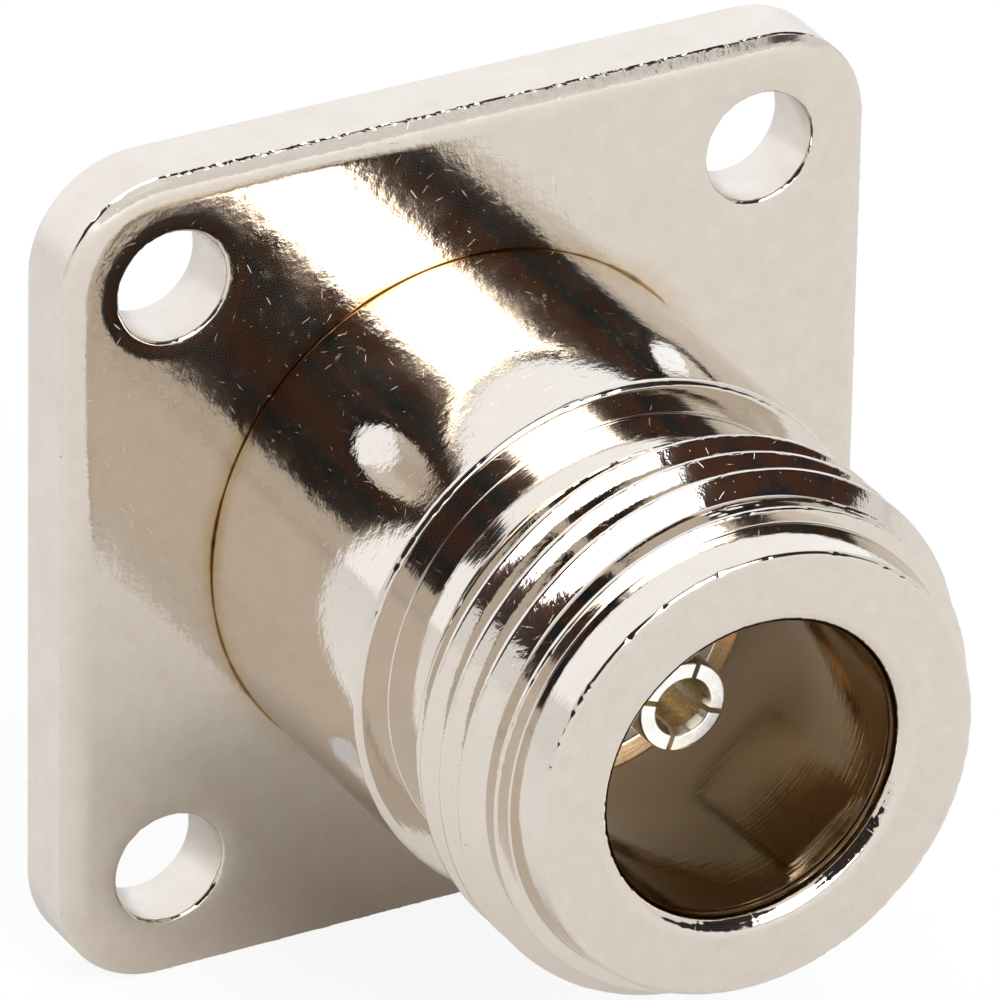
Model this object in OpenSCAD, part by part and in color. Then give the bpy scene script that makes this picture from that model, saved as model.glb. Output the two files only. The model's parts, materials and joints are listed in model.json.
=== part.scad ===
// Coaxial panel jack: a threaded nose on a square four-hole flange, with a solder cup behind.
// Sizes are in millimetres. The axis lies along Y and the mouth looks toward -Y.
// The flange's rear face, which seats on the panel, is the plane Y = 0, and +Z is up.

/* [Flange] */
// Side of the square plate
flange_w = 25; // [23.5:0.1:32]
// Thickness of the plate
flange_t = 2.15; // [1.5:0.05:4]
// Radius of the plate's four corners
flange_corner_r = 3.15; // [1.5:0.05:4]
// Radius of the front edge, rolled over when the plate was blanked
flange_edge_r = 0.5; // [0.2:0.05:0.8]
// Distance of each screw hole's centre from the plate's two nearest sides
hole_inset = 3.37; // [3:0.01:4]
// Diameter of the screw holes
hole_d = 3.3; // [2.5:0.05:3.5]
// Width of the broken front rim of each screw hole
hole_rim = 0.25; // [0.1:0.05:0.4]

/* [Barrel] */
// Diameter of the plain barrel
barrel_d = 15.84; // [15:0.02:18]
// Length of the barrel in front of the flange
barrel_len = 8.5; // [5:0.1:15]
// Radius of the barrel's front edge
barrel_edge_r = 0.2; // [0.1:0.05:0.5]
// Diameter of the floor of the relief groove behind the thread
relief_d = 13.9; // [13.2:0.05:14.4]
// Length of the relief groove
relief_len = 1.8; // [1:0.05:3]

/* [Nose] */
// Diameter over the thread's crests
thread_d = 15.66; // [15:0.02:16.5]
// Length of the thread at full diameter, with its run-out
thread_len = 3.95; // [2:0.05:8]
// Length of the tapered run-out where the thread leaves the relief groove
thread_runout = 0.6; // [0.2:0.05:1]
// Length of the taper at the thread's front end
lead_len = 0.35; // [0.2:0.05:1]
// Diameter of the plain land in front of the thread
land_d = 14.45; // [14:0.05:15]
// Length of the plain land
land_len = 0.55; // [0.3:0.05:2]
// Diameter of the plain pilot in front of the thread
pilot_d = 13.7; // [12.5:0.05:14]
// Length of the pilot behind its chamfer
pilot_len = 0.85; // [0.4:0.05:2]
// Length of the pilot's chamfer along the axis
chamfer_len = 0.5; // [0.2:0.05:1]
// Depth of the pilot's chamfer across the axis
chamfer_depth = 0.2; // [0.1:0.05:0.5]

/* [Bore] */
// Diameter of the mouth that takes the plug's sleeve
mouth_d = 8.84; // [8:0.02:9]
// Radius of the rounded lip at the mouth
mouth_lip_r = 0.38; // [0.1:0.02:0.6]
// Depth of the mouth, from the front face to the stop rib
mouth_depth = 9.1; // [7:0.1:11]
// Depth of the stop rib across the axis
rib_depth = 0.35; // [0.2:0.05:1]
// Thickness of the stop rib
rib_t = 0.5; // [0.3:0.05:2]
// Diameter of the cavity that holds the insulators
cavity_d = 9.2; // [8.4:0.05:10]

/* [Rear boss] */
// Diameter of the seat that the flange is pressed on
seat_d = 12; // [11.8:0.05:13]
// Diameter of the boss that passes through the panel
boss_d = 11.6; // [11:0.05:11.8]
// Length of the boss behind the flange
boss_len = 4; // [2:0.1:8]
// Chamfer on the boss's rear edge
boss_chamfer = 0.3; // [0.1:0.05:0.6]
// Thickness of the lip rolled over the rear insulator
lip_t = 0.4; // [0.2:0.05:0.8]
// Depth of the rolled lip across the axis
lip_depth = 0.5; // [0.2:0.05:0.8]

/* [Contact] */
// Diameter of the contact from its collar to the root of the fingers
socket_d = 3.04; // [2.8:0.02:3.4]
// Diameter over the closed fingertips
tip_d = 2.64; // [2.4:0.02:3]
// Distance of the fingertips behind the front face
tip_recess = 4.1; // [3:0.1:6]
// Radius of the fingertips' outer edge
tip_edge = 0.06; // [0.03:0.01:0.2]
// Diameter of the hole that takes the plug's pin
pin_hole_d = 1.6; // [1.5:0.02:1.8]
// Depth of the pin hole
pin_hole_depth = 6; // [5.5:0.1:8]
// Width of the lead-in chamfer at the pin hole
pin_lead = 0.07; // [0.03:0.01:0.25]
// Length of the saw cuts that part the fingers
slot_len = 5; // [3:0.1:5.4]
// Width of the saw cuts at the fingers' root
slot_root_w = 0.28; // [0.16:0.02:0.36]
// Width left between the closed fingertips
slot_tip_w = 0.16; // [0.1:0.02:0.24]
// Angle of the first saw cut from +X toward +Z
slot_angle = 70; // [0:1:89]
// Diameter of the collar held between the insulators
collar_d = 4.6; // [3.8:0.05:6]
// Thickness of the collar
collar_t = 1; // [0.6:0.05:2]
// Diameter of the tail behind the collar
tail_d = 2.9; // [2.5:0.05:3.3]
// Length of the tail that stands out of the rear insulator
tail_len = 4.5; // [3:0.1:8]
// Diameter of the solder cup's hole
cup_d = 1.9; // [1.4:0.05:2.2]
// Depth of the solder cup
cup_depth = 3.8; // [2.5:0.1:5]
// Length of the cup's mouth that is cut open on its upper side
scallop_len = 1.7; // [0.8:0.1:1.8]

/* [Insulators] */
// Length of the front insulator
front_len = 6; // [3:0.1:8]
// Length of the rear insulator's nose behind the boss
rear_nose_len = 1.5; // [0.5:0.1:4]
// Gap all round between the rear insulator's nose and the rolled lip
rear_nose_gap = 0.1; // [0.05:0.01:0.2]

/* [Fits] */
// Gap all round between the seat and the flange's centre hole
flange_fit = 0.01; // [0:0.005:0.03]
// Gap all round between an insulator and the metal that it fills
insulator_fit = 0.02; // [0:0.005:0.05]

/* [Hidden] */
$fn = 96;

// Stations along the axis, measured forward from the flange's rear face
barrel_end = flange_t + barrel_len;
thread_start = barrel_end + relief_len;
lead_start = thread_start + thread_len;
land_start = lead_start + lead_len;
land_end = land_start + land_len;
pilot_end = land_end + pilot_len;
front_face = pilot_end + chamfer_len;
rib_front = front_face - mouth_depth;
rib_rear = rib_front - rib_t;
boss_end = -boss_len;
lip_front = boss_end + lip_t;
collar_front = rib_rear - front_len;
collar_rear = collar_front - collar_t;
nose_end = boss_end - rear_nose_len;
tail_end = nose_end - tail_len;
tip = front_face - tip_recess;
slot_root = tip - slot_len;
pin_hole_floor = tip - pin_hole_depth;
cup_floor = tail_end + cup_depth;

// Distance between the screw holes along each side
hole_pitch = flange_w - 2 * hole_inset;

// Half sizes used by the turned profiles
mouth_r = mouth_d / 2;
rib_r = mouth_r - rib_depth;
cavity_r = cavity_d / 2;
boss_r = boss_d / 2;
seat_r = seat_d / 2;
barrel_r = barrel_d / 2;
pilot_r = pilot_d / 2;
lip_r = cavity_r - lip_depth;
tail_edge = tip_edge;
drill_tip = tan(30);
arc_steps = 6;
overcut = 1;

nickel = [0.80, 0.78, 0.74];
silver = [0.87, 0.87, 0.86];
fluoropolymer = [0.95, 0.95, 0.93];

// Points of a quarter arc round a centre, from one angle to another
function arc(centre, radius, from, to) = [
    for (i = [0:arc_steps])
        let (a = from + (to - from) * i / arc_steps)
            centre + radius * [cos(a), sin(a)]
];

// Turns the local +Z, which runs forward, onto the jack's axis
module along_axis() {
    rotate([90, 0, 0]) children();
}

module ring(outer_d, inner_d, from, to) {
    translate([0, 0, from])
        difference() {
            cylinder(d = outer_d, h = to - from);
            translate([0, 0, -overcut])
                cylinder(d = inner_d, h = to - from + 2 * overcut);
        }
}

// Turned body: barrel, relief groove, thread, pilot, stepped bore, flange seat and rear boss in one piece
module jack_body() {
    outside = concat(
        [
            [lip_r, boss_end],
            [boss_r - boss_chamfer, boss_end],
            [boss_r, boss_end + boss_chamfer],
            [boss_r, 0],
            [seat_r, 0],
            [seat_r, flange_t],
            [barrel_r, flange_t]
        ],
        arc([barrel_r - barrel_edge_r, barrel_end - barrel_edge_r], barrel_edge_r, 0, 90),
        [
            [relief_d / 2, barrel_end],
            [relief_d / 2, thread_start],
            [thread_d / 2, thread_start + thread_runout],
            [thread_d / 2, lead_start],
            [land_d / 2, land_start],
            [land_d / 2, land_end],
            [pilot_r, land_end],
            [pilot_r, pilot_end],
            [pilot_r - chamfer_depth, front_face]
        ]
    );
    inside = concat(
        arc([mouth_r + mouth_lip_r, front_face - mouth_lip_r], mouth_lip_r, 90, 180),
        [
            [mouth_r, rib_front],
            [rib_r, rib_front],
            [rib_r, rib_rear],
            [cavity_r, rib_rear],
            [cavity_r, lip_front],
            [lip_r, lip_front]
        ]
    );
    color(nickel)
        along_axis()
            rotate_extrude()
                polygon(concat(outside, inside));
}

// Square outline with round corners
module rounded_square(width, corner_r) {
    square([width, width - 2 * corner_r], center = true);
    square([width - 2 * corner_r, width], center = true);
    for (x = [-1, 1], y = [-1, 1])
        translate([x, y] * (width / 2 - corner_r))
            circle(corner_r);
}

// Quarter disc that fills the rolled edge
module edge_section() {
    intersection() {
        circle(flange_edge_r);
        square(flange_edge_r);
    }
}

// Rolled front edge: a quarter round along each side and round each corner
module rolled_edge() {
    corner = flange_w / 2 - flange_corner_r;
    for (a = [0:90:270])
        rotate(a)
            translate([0, 0, flange_t - flange_edge_r]) {
                translate([flange_w / 2 - flange_edge_r, 0, 0])
                    rotate([90, 0, 0])
                        linear_extrude(2 * corner, center = true)
                            edge_section();
                translate([corner, corner, 0])
                    rotate_extrude(angle = 90)
                        translate([flange_corner_r - flange_edge_r, 0])
                            edge_section();
            }
}

// Screw hole with a broken rim on the front face
module screw_hole() {
    translate([0, 0, -overcut])
        cylinder(d = hole_d, h = flange_t + 2 * overcut);
    translate([0, 0, flange_t - hole_rim])
        cylinder(d1 = hole_d, d2 = hole_d + 2 * hole_rim, h = hole_rim);
}

// Blanked plate pressed on the body's seat, up against the barrel
module mounting_flange() {
    color(nickel)
        along_axis()
            difference() {
                union() {
                    linear_extrude(flange_t - flange_edge_r)
                        rounded_square(flange_w, flange_corner_r);
                    linear_extrude(flange_t)
                        rounded_square(flange_w - 2 * flange_edge_r, flange_corner_r - flange_edge_r);
                    rolled_edge();
                }
                translate([0, 0, -overcut])
                    cylinder(d = seat_d + 2 * flange_fit, h = flange_t + 2 * overcut);
                for (x = [-1, 1], y = [-1, 1])
                    translate([x, y] * hole_pitch / 2)
                        screw_hole();
            }
}

// Disc between the stop rib and the contact's collar
module front_insulator() {
    color(fluoropolymer)
        along_axis()
            ring(cavity_d - 2 * insulator_fit, socket_d + 2 * insulator_fit, collar_front, rib_rear);
}

// Disc behind the front insulator, with a pocket for the collar and a nose that stands out of the boss
module rear_insulator() {
    nose_d = 2 * (lip_r - rear_nose_gap);
    color(fluoropolymer)
        along_axis()
            difference() {
                union() {
                    ring(cavity_d - 2 * insulator_fit, tail_d + 2 * insulator_fit, lip_front, collar_front);
                    ring(nose_d, tail_d + 2 * insulator_fit, nose_end, lip_front);
                }
                translate([0, 0, collar_rear])
                    cylinder(d = collar_d + 2 * insulator_fit, h = collar_t + overcut);
            }
}

// One saw cut across the fingers, narrowing to the closed tips
module finger_slot() {
    rotate([90, 0, 0])
        linear_extrude(socket_d + 2 * overcut, center = true)
            polygon([
                [-slot_root_w / 2, slot_root],
                [slot_root_w / 2, slot_root],
                [slot_tip_w / 2, tip],
                [slot_tip_w / 2, tip + overcut],
                [-slot_tip_w / 2, tip + overcut],
                [-slot_tip_w / 2, tip]
            ]);
}

// Turned contact: slotted socket, collar and tail with a solder cup
module centre_contact() {
    pin_r = pin_hole_d / 2;
    cup_r = cup_d / 2;
    tip_r = tip_d / 2;
    tail_r = tail_d / 2;
    profile = [
        [0, cup_floor + cup_r * drill_tip],
        [cup_r, cup_floor],
        [cup_r, tail_end],
        [tail_r - tail_edge, tail_end],
        [tail_r, tail_end + tail_edge],
        [tail_r, collar_rear],
        [collar_d / 2, collar_rear],
        [collar_d / 2, collar_front],
        [socket_d / 2, collar_front],
        [socket_d / 2, slot_root],
        [tip_r, tip - tip_edge],
        [tip_r - tip_edge, tip],
        [pin_r + pin_lead, tip],
        [pin_r, tip - pin_lead],
        [pin_r, pin_hole_floor],
        [0, pin_hole_floor - pin_r * drill_tip]
    ];
    color(silver)
        along_axis()
            difference() {
                rotate_extrude()
                    polygon(profile);
                for (a = [slot_angle, slot_angle + 90])
                    rotate(a + 90)
                        finger_slot();
                translate([-tail_d, 0, tail_end - overcut])
                    cube([2 * tail_d, tail_d, scallop_len + overcut]);
            }
}

jack_body();
mounting_flange();
front_insulator();
centre_contact();
rear_insulator();
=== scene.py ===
"""Looks of a square-flanged coaxial panel jack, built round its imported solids.

Sizes are in millimetres and are turned to metres where a mesh is made. The jack's axis lies along Y.
A station is a distance forward of the flange's rear face, so a point at station s has Y = -s.
An angle round the axis runs from +X toward +Z, and 90 degrees is the top.
"""

import json
import math
from collections import namedtuple

import bmesh
import bpy
import numpy as np
from mathutils import Matrix, Vector


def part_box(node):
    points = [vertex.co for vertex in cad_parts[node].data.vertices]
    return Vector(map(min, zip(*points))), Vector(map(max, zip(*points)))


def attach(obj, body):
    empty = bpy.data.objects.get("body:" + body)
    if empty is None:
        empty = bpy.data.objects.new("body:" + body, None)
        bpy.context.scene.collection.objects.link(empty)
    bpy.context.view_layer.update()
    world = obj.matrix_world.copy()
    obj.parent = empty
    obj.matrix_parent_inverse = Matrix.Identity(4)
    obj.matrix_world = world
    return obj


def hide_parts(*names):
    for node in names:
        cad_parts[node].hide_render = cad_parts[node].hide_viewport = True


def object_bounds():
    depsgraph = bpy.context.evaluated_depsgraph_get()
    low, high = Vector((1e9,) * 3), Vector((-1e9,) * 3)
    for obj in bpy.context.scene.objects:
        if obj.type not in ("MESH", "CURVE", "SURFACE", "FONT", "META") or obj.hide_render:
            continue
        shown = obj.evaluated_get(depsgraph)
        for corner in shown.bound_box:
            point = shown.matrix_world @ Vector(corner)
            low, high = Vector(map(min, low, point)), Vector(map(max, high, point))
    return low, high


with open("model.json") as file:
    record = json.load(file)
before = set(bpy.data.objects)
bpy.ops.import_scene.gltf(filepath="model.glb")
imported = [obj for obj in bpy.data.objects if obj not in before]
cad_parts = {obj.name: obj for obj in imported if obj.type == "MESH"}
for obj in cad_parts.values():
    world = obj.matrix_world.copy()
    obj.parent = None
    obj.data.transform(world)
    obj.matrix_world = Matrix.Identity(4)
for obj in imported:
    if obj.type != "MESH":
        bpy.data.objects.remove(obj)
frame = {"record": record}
cad_low, cad_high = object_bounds()

MM = 0.001
MICRON = 1e-6
TURN = 2 * math.pi
scene = bpy.context.scene
scene.view_settings.view_transform = "Standard"
# Thread and bore mirror themselves several times over
scene.cycles.glossy_bounces = 8

# Sizes read from the frame and its record
mount_sizes = {m["name"]: m["dims"] for m in frame["record"]["mounts"]}
body_low, body_high = (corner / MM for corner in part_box("jack_body"))
flange_low, flange_high = (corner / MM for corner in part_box("mounting_flange"))
contact_low, contact_high = (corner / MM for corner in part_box("centre_contact"))
front_disc_low, front_disc_high = (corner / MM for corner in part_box("front_insulator"))
rear_disc_low, rear_disc_high = (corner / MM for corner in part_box("rear_insulator"))

FRONT_FACE = -body_low.y
BOSS_END = -body_high.y
BARREL_R = body_high.x
BOSS_R = mount_sizes["panel_boss"]["r_mm"]
THREAD_R = mount_sizes["coupling_thread"]["r_mm"]
FLANGE_T = -flange_low.y
FLANGE_HALF = flange_high.x
HOLE_R = mount_sizes["panel_screws"]["hole_r_mm"]
HOLE_PITCH = mount_sizes["panel_screws"]["spacing_x_mm"]
PIN_HOLE_R = mount_sizes["pin_socket"]["r_mm"]
CUP_R = mount_sizes["solder_cup"]["r_mm"]
CUP_DEPTH = mount_sizes["solder_cup"]["length_mm"]
TIP = -contact_low.y
TAIL_END = -contact_high.y
COLLAR_R = contact_high.x
DISC_R = front_disc_high.x
RIB_REAR = -front_disc_low.y
COLLAR_FRONT = -front_disc_high.y
NOSE_END = -rear_disc_high.y

# Stations and radii of the turned body. All but THREAD_FULL, LAND_FLARE, PILOT_TAPER and MOUTH_LIP are
# the solid's own
BARREL_END = FLANGE_T + 8.5
RELIEF_R = 6.95
THREAD_START = BARREL_END + 1.8
THREAD_FULL = THREAD_START + 1.3
LEAD_START = THREAD_START + 3.95
LAND_START = LEAD_START + 0.35
LAND_END = LAND_START + 0.55
ROOT_R = 7.225
LAND_FLARE = 0.09
PILOT_R = 6.85
PILOT_TAPER = 0.2
MOUTH_R = 4.42
MOUTH_LIP = 0.5
RIB_R = MOUTH_R - 0.35
RIB_FRONT = RIB_REAR + 0.5
CAVITY_R = 4.6
SEAT_R = 6.0
BOSS_CHAMFER = 0.3
LIP_T = 0.4
LIP_R = CAVITY_R - 0.5

# Rounds of the body's edges, and the nicks in them: how deep, how many and how wide in degrees
EDGE_BREAK = 0.05
EDGE_NICK = 0.01
BOSS_LIP_EDGE = 0.06
BARREL_EDGE = 0.18
BARREL_NICK = 0.03
LAND_EDGE = 0.06
LAND_NICK = 0.03
FRONT_EDGE = 0.12
FRONT_EDGE_WIDTH = 0.17
FRONT_NICK = 0.045
LIP_NICK = 0.012
RIB_EDGE = 0.08
NICKS = 90
NICK_DEGREES = (0.3, 1.6)

# Two fine rings that the reamer left: depths behind the lip of their start, crests, valley and end
RING_HEIGHT = 0.015
RING_ROUND = 0.03
RING_DEPTHS = (0.05, 0.12, 0.2, 0.28, 0.4)

# Coupling thread, 24 turns to the inch and right-handed
PITCH = 25.4 / 24
FLANK_ANGLE = math.radians(30)
THREAD_DEPTH = THREAD_R - ROOT_R
FLANK_RUN = THREAD_DEPTH * math.tan(FLANK_ANGLE)
CREST_HALF = 0.065
CREST_AT_TOP = 12.82
CREST_NUMBERS = range(-2, 6)
CREST_LEAD = 0.26
CREST_EDGE = 0.03
CREST_EDGE_SHARE = 0.35
CREST_WEAR = 0.03
CREST_DENTS = 340
CREST_DENT_DEGREES = (0.25, 1.4)
ROOT_EASE = 0.04

# Burrs on the land where the thread starts: how many, in which stretch of the turn, and their sizes
BURRS = 7
BURR_ANGLES = (76, 97)
BURR_HEIGHT = 0.03
BURR_HALF_LENGTHS = (0.1, 0.22)
BURR_HALF_WIDTHS = (0.05, 0.08)
BURR_LEAN = 0.6
BURR_ROW = 0.04
BURR_MARGIN = 0.1

# Flange
FLANGE_CORNER_R = 3.15
BEVEL_WIDTH = 0.55
BEVEL_DEPTH = 0.19
BEVEL_ROUND = 2.0
FACE_INSET = 0.95
REAR_EDGE = 0.06
WORN_EDGE = 0.08
EDGE_WEAR = 0.05
EDGE_DENTS = 700
EDGE_DENT_DEGREES = (0.2, 0.9)
SEAT_CLEARANCE = 0.01

# Screw holes: the punched front rim, the dish round it, and the rear rim's loops by distance out and height
HOLE_RIM = 0.1
HOLE_RIM_FOOT = 0.05
HOLE_DISH = 0.04
DISH_WIDTH = 0.5
DISH_MARGIN = 0.1
HOLE_WEAR = 0.03
HOLE_DENTS = 40
HOLE_DENT_DEGREES = (1.0, 5.0)
HOLE_REAR_RIM = ((0.18, 0.0), (0.06, 0.0), (0.02, 0.02), (0.0, 0.07))

# Contact
SOCKET_R = 1.52
TIP_R = 1.32
TIP_EDGE = 0.06
PIN_LEAD = 0.07
PIN_LEAD_DEPTH = 0.3
CLOSED_R = 0.74
PIN_HOLE_DEPTH = 6.0
SLOT_LENGTH = 5.0
SLOT_ROOT_W = 0.28
SLOT_TIP_W = 0.16
SLOT_ANGLES = (70, 160)
COLLAR_T = 1.0
COLLAR_EDGE = 0.05
TAIL_R = 1.45
TAIL_EDGE = 0.1
CUP_EDGE = 0.05
BORE_EDGE = 0.03
SCALLOP_LENGTH = 1.7
DRILL_TIP = math.tan(math.radians(30))

# Insulators
DISC_BORE = 0.02
DISC_EDGE = 0.08
DISC_BORE_EDGE = 0.06
NOSE_R = LIP_R - 0.1
NOSE_EDGE = 0.15
SHOULDER_EDGE = 0.05

# Fineness of the meshes
BODY_COLUMNS = 480
SMALL_COLUMNS = 192
SIDE_POINTS = 300
CORNER_POINTS = 32
HOLE_POINTS = 128
SEAT_POINTS = 256
BESIDE_ROUND = 0.04
SHARP_ANGLE = math.radians(32)

# Places of the finishes in each piece's list of materials
POLISHED, FACED, REAMED, TURNED = range(4)
FACE, EDGE, BEVEL = range(3)
SATIN, RUBBED = range(2)

Corner = namedtuple("Corner", "radius station round nick finish", defaults=(0.0, 0.0, 0))


# Mesh tools

def fillet(corners, steps=5):
    """Points (radius, station, nick, finish, corner) of a closed profile with its corners rounded.

    A point beside each round keeps the flat stretch flat in the shading.
    """
    points = []
    count = len(corners)
    for i, corner in enumerate(corners):
        here = np.array(corner[:2])
        if corner.round == 0:
            points.append((*here, corner.nick, corner.finish, i))
            continue
        back = np.array(corners[i - 1][:2]) - here
        ahead = np.array(corners[(i + 1) % count][:2]) - here
        back /= np.linalg.norm(back)
        ahead /= np.linalg.norm(ahead)
        half = math.acos(np.clip(back @ ahead, -1, 1)) / 2
        reach = corner.round / math.tan(half)
        middle = back + ahead
        centre = here + middle / np.linalg.norm(middle) * corner.round / math.sin(half)
        start, end = here + back * reach, here + ahead * reach
        sweep = math.pi - 2 * half
        points.append((*(start + back * BESIDE_ROUND), 0.0, corners[i - 1].finish, i))
        for k in range(steps + 1):
            t = k / steps
            arc = (start - centre) * math.sin((1 - t) * sweep) + (end - centre) * math.sin(t * sweep)
            nick = corner.nick * math.sin(math.pi * t)
            points.append((*(centre + arc / math.sin(sweep)), nick, corner.finish, i))
        points.append((*(end + ahead * BESIDE_ROUND), 0.0, corner.finish, i))
    return points


def dents(angle, seed, count, widths, turns=1):
    """Depth, from 0 to 1, of small dents scattered round an edge.

    The angle is in radians and may run past one turn, and the dents' half widths are in degrees.
    """
    draw = np.random.default_rng(seed)
    depth = np.zeros_like(angle)
    for _ in range(count):
        place = draw.uniform(0, TURN * turns)
        width = math.radians(draw.uniform(*widths))
        deep = draw.uniform(0.25, 1.0)
        away = np.abs((angle - place + TURN / 2 * turns) % (TURN * turns) - TURN / 2 * turns)
        depth = np.maximum(depth, deep * np.clip(1 - (away / width) ** 2, 0, 1))
    return depth


def finished_object(name, mesh, materials):
    """Object from a bmesh, smooth except across sharp edges."""
    data = bpy.data.meshes.new(name)
    mesh.to_mesh(data)
    mesh.free()
    for material in materials:
        data.materials.append(material)
    data.set_sharp_from_angle(angle=SHARP_ANGLE)
    piece = bpy.data.objects.new(name, data)
    scene.collection.objects.link(piece)
    return piece


def turned_object(name, radius, station, finish, materials, angles):
    """Closed lathe mesh from rows of radius and station, with a UV map in millimetres round and along."""
    rows, columns = radius.shape
    x = radius * np.cos(angles) * MM
    z = radius * np.sin(angles) * MM
    y = -station * MM
    mesh_points = np.stack([x, y, z], axis=-1).reshape(-1, 3)
    run = np.hypot(np.diff(radius, axis=0), np.diff(station, axis=0))
    along = np.vstack([np.zeros(columns), np.cumsum(run, axis=0)])
    around = np.broadcast_to(angles * BARREL_R, radius.shape)
    mesh = bmesh.new()
    points = [mesh.verts.new(p) for p in mesh_points]
    uv_layer = mesh.loops.layers.uv.new("turned")
    for i in range(rows):
        after = (i + 1) % rows
        for j in range(columns - 1):
            cells = [(i, j), (i, j + 1), (after, j + 1), (after, j)]
            face = mesh.faces.new([points[a * columns + b] for a, b in cells])
            face.smooth = True
            face.material_index = int(finish[i])
            for loop, (a, b) in zip(face.loops, cells):
                loop[uv_layer].uv = (around[a, b], along[a, b])
    bmesh.ops.remove_doubles(mesh, verts=mesh.verts, dist=2e-4 * MM)
    # Where rows run together, a face can be left standing on one edge
    loose = [face for face in mesh.faces if any(len(edge.link_faces) == 1 for edge in face.edges)]
    bmesh.ops.delete(mesh, geom=loose, context="FACES")
    bmesh.ops.recalc_face_normals(mesh, faces=mesh.faces)
    return finished_object(name, mesh, materials)


def plain_rows(corners, angles, seed=1, steps=5):
    """Rows of radius, station and finish of a profile that is the same all round, apart from its nicks."""
    points = fillet(corners, steps)
    radius = np.empty((len(points), len(angles)))
    station = np.empty_like(radius)
    finish = np.array([p[3] for p in points])
    middle = np.mean([p[:2] for p in points], axis=0)
    for i, (r, s, nick, _, corner) in enumerate(points):
        inward = middle - (r, s)
        inward /= np.linalg.norm(inward)
        depth = nick * dents(angles, seed + corner, NICKS, NICK_DEGREES) if nick else 0.0
        radius[i] = r + inward[0] * depth
        station[i] = s + inward[1] * depth
    return radius, station, finish


def turned_plain(name, corners, materials):
    """Small turned piece, the same all round."""
    angles = np.linspace(0, TURN, SMALL_COLUMNS + 1)
    radius, station, finish = plain_rows(corners, angles, steps=4)
    return turned_object(name, radius, station, finish, materials, angles)


# Turned body

def thread_envelope(station):
    """Radius that the thread's crests reach: the run-out, the full diameter and the lead-in taper."""
    stations = [THREAD_START, THREAD_FULL, LEAD_START, LEAD_START + CREST_LEAD]
    return np.interp(station, stations, [RELIEF_R, THREAD_R, THREAD_R, ROOT_R])


def flank_edge(start, end, flank):
    """Station between start and end where a flank meets the envelope, found by halving."""
    low, high = start.copy(), end.copy()
    for _ in range(40):
        middle = (low + high) / 2
        below = flank(middle) < thread_envelope(middle)
        low = np.where(below, middle, low)
        high = np.where(below, high, middle)
    return (low + high) / 2


def thread_rows(angles):
    """Rows of radius and station along the helix, so that crests and roots follow lines of the mesh."""
    slope = THREAD_DEPTH / FLANK_RUN
    turn = (angles - math.pi / 2) / TURN
    turns = len(CREST_NUMBERS)
    rows = []
    for number in CREST_NUMBERS:
        crest = CREST_AT_TOP + PITCH * (number + turn)
        rear_foot, rear_top = crest - CREST_HALF - FLANK_RUN, crest - CREST_HALF
        front_foot, front_top = crest + CREST_HALF + FLANK_RUN, crest + CREST_HALF
        rear_edge = flank_edge(rear_foot, rear_top, lambda s: ROOT_R + slope * (s - rear_foot))
        front_edge = flank_edge(front_foot, front_top, lambda s: ROOT_R + slope * (front_foot - s))
        rear_edge_r, front_edge_r = thread_envelope(rear_edge), thread_envelope(front_edge)
        ease = np.minimum(CREST_EDGE, CREST_EDGE_SHARE * (front_edge - rear_edge))
        worn = CREST_WEAR * dents(angles + TURN * number, 7, CREST_DENTS, CREST_DENT_DEGREES, turns)
        rows.append((crest - PITCH / 2, np.full_like(angles, ROOT_R)))
        for foot, edge, edge_r, side in (
            (rear_foot, rear_edge, rear_edge_r, 1),
            (front_foot, front_edge, front_edge_r, -1),
        ):
            outer = (edge + side * ease, thread_envelope(edge + side * ease))
            inner = (edge - side * ease / 2, edge_r - ease * math.cos(FLANK_ANGLE))
            below = (edge - side * ease, edge_r - 2 * ease * math.cos(FLANK_ANGLE))
            nose = [0.25 * a + 0.5 * b + 0.25 * c for a, b, c in zip(outer, (edge, edge_r), inner)]
            flank = [
                (foot - side * ROOT_EASE, np.full_like(angles, ROOT_R)),
                (foot, np.full_like(angles, ROOT_R + ROOT_EASE / 4)),
                (foot + side * ROOT_EASE, np.full_like(angles, ROOT_R + slope * ROOT_EASE)),
                below,
                inner,
                (nose[0], nose[1] - worn),
                outer,
            ]
            if side < 0:
                middle = (rear_edge + front_edge) / 2
                rows.append((middle, thread_envelope(middle)))
                flank.reverse()
            rows += flank
    station = np.clip([s for s, _ in rows], THREAD_START, LEAD_START + CREST_LEAD)
    station = np.maximum.accumulate(station, axis=0)
    reach = thread_envelope(station)
    return np.clip([r for _, r in rows], np.minimum(ROOT_R, reach), reach), station


def burred_land_rows(angles):
    """Rows of the slightly flared land, with torn burrs where the thread's first turn starts."""
    station = np.arange(LEAD_START + CREST_LEAD + BURR_ROW, LAND_END - 2 * LAND_EDGE, BURR_ROW)
    station = np.broadcast_to(station[:, None], (len(station), len(angles)))
    plain = np.interp(station, [LEAD_START + CREST_LEAD, LAND_END], [ROOT_R, ROOT_R + LAND_FLARE])
    radius = plain
    draw = np.random.default_rng(5)
    for _ in range(BURRS):
        around = (angles - math.radians(draw.uniform(*BURR_ANGLES))) * ROOT_R
        along = station - draw.uniform(station[0, 0], station[-1, 0] - BURR_MARGIN)
        across = along - draw.uniform(-BURR_LEAN, BURR_LEAN) * around
        away = (around / draw.uniform(*BURR_HALF_LENGTHS)) ** 2
        away = away + (across / draw.uniform(*BURR_HALF_WIDTHS)) ** 2
        radius = np.maximum(radius, plain + BURR_HEIGHT * np.clip(1 - away, 0, 1))
    return radius, station


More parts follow.
